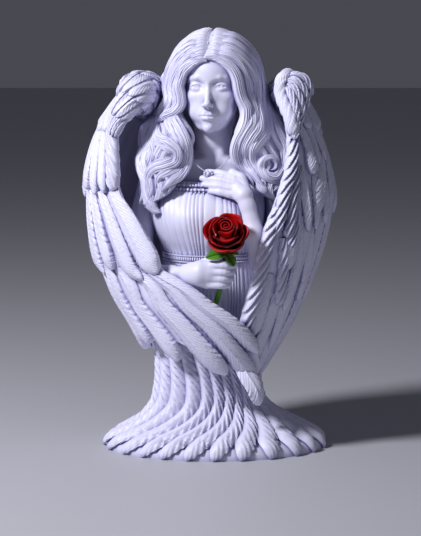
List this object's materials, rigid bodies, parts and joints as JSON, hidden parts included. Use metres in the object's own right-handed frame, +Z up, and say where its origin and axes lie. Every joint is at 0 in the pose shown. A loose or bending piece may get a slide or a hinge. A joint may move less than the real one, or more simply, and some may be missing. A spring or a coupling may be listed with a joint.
{
  "type": "angel bust",
  "caption": "Standing cast angel bust with wings wrapped round the figure, a flared feather foot, and a rose held in one fist.",
  "frame": {"origin": "centre of the foot's flat underside", "axes": "+Z up, the figure faces -Y, +X to the viewer's right as one looks at its face"},
  "size_m": [0.157, 0.1182, 0.2594],
  "materials": {
    "matt_white_resin": "cast resin with a matt white finish",
    "red_painted_resin": "satin red paint over cast resin",
    "green_painted_resin": "satin green paint over cast resin"
  },
  "bodies": {
    "root": {"angel_casting": "matt_white_resin", "rose_bloom": "red_painted_resin", "rose_stem_and_leaves": "green_painted_resin"}
  },
  "joints": []
}
